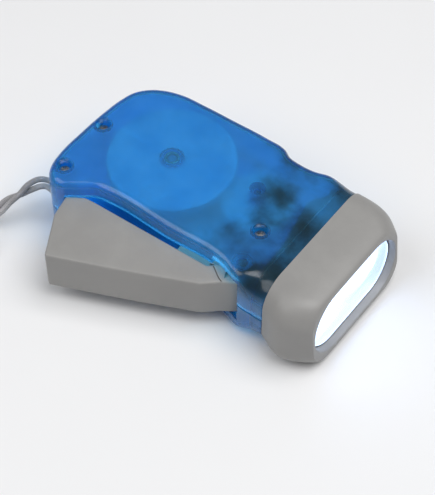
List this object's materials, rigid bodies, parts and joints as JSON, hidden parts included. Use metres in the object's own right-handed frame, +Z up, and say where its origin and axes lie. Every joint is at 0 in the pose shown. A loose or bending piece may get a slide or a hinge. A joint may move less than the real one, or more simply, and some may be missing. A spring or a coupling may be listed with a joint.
{
  "type": "squeeze powered flashlight",
  "caption": "Palm-size flashlight with a side squeeze lever that spins a geared flywheel generator, a wide lit head, a clear blue body and a doubled wrist cord.",
  "frame": {"origin": "under the middle of the box of the rigid part, on the surface it lies on", "axes": "+X along the body toward the head and lens, +Y away from the lever side, +Z up, square to the parting plane of the body"},
  "size_m": [0.1402, 0.0984, 0.03],
  "materials": {
    "blue_plastic": "clear blue moulded plastic, polished",
    "grey_plastic": "fine matt moulded plastic",
    "white_plastic": "plain moulded nylon",
    "black_plastic": "moulded epoxy",
    "clear_plastic": "clear polished sheet",
    "mirror_coat": "bright vacuum coating",
    "steel": "plain turned or pressed steel",
    "zinc": "plain die casting",
    "brass": "plain turned or pressed brass",
    "copper": "lacquered copper wire",
    "ferrite": "sintered, ground",
    "board_green": "resin board with green lacquer",
    "lamp_resin": "clear cast resin",
    "strap_cord": "satin braided cord"
  },
  "bodies": {
    "body": {"upper_shell": "blue_plastic", "lower_shell": "blue_plastic", "head_bezel": "grey_plastic", "lens": "clear_plastic", "reflector": "mirror_coat", "led_1": "lamp_resin", "led_2": "lamp_resin", "led_3": "lamp_resin", "led_board": "board_green", "diode_1": "black_plastic", "diode_2": "black_plastic", "diode_3": "black_plastic", "diode_4": "black_plastic", "coin_cell": "steel", "cell_contact": "brass", "cell_clip": "brass", "shell_screw_1": "steel", "shell_screw_2": "steel", "shell_screw_3": "steel", "lever_pin": "steel", "drive_shaft": "steel", "idler_shaft": "steel", "floor_bush": "brass", "roof_bush": "brass", "stator_core": "steel", "core_screw_1": "steel", "core_screw_2": "steel", "coil_bobbin": "white_plastic", "coil_winding": "copper", "coil_lead_1": "copper", "coil_lead_2": "copper", "return_spring": "steel", "strap_strands": "strap_cord", "strap_coil": "strap_cord"},
    "lever": {"squeeze_lever": "grey_plastic"},
    "pinion": {"drive_pinion": "zinc", "clutch_pawl": "steel"},
    "wheel": {"drive_wheel": "white_plastic"},
    "idler": {"idler_gear": "white_plastic"},
    "flywheel": {"flywheel": "zinc", "flywheel_shaft": "steel", "flywheel_pinion": "brass", "magnet_rotor": "ferrite"}
  },
  "joints": [
    {"name": "lever_squeeze", "type": "hinge", "parent": "body", "child": "lever", "pos_m": [0.021, -0.00831, 0.015], "axis": [0, 0, 1], "range_deg": [-22, 0], "stiffness_Nm_per_rad": 0.12, "springref_deg": 25.78, "deforming": ["return_spring"]},
    {"name": "pinion_turn", "type": "hinge", "parent": "body", "child": "pinion", "pos_m": [0.0076, 0.01809, 0.015], "axis": [0, 0, 1], "range_deg": [0, 141]},
    {"name": "wheel_turn", "type": "hinge", "parent": "body", "child": "wheel", "pos_m": [0.0076, 0.01809, 0.0192], "axis": [0, 0, 1], "continuous": true},
    {"name": "idler_turn", "type": "hinge", "parent": "body", "child": "idler", "pos_m": [-0.007, 0.01334, 0.015], "axis": [0, 0, 1], "continuous": true},
    {"name": "flywheel_spin", "type": "hinge", "parent": "body", "child": "flywheel", "pos_m": [-0.0224, 0.01199, 0.015], "axis": [0, 0, 1], "continuous": true}
  ],
  "couplings": [
    {"joint": "pinion_turn", "follows": "lever_squeeze", "ratio": -6.4},
    {"joint": "idler_turn", "follows": "flywheel_spin", "ratio": -0.19231},
    {"joint": "wheel_turn", "follows": "flywheel_spin", "ratio": 0.052885}
  ]
}
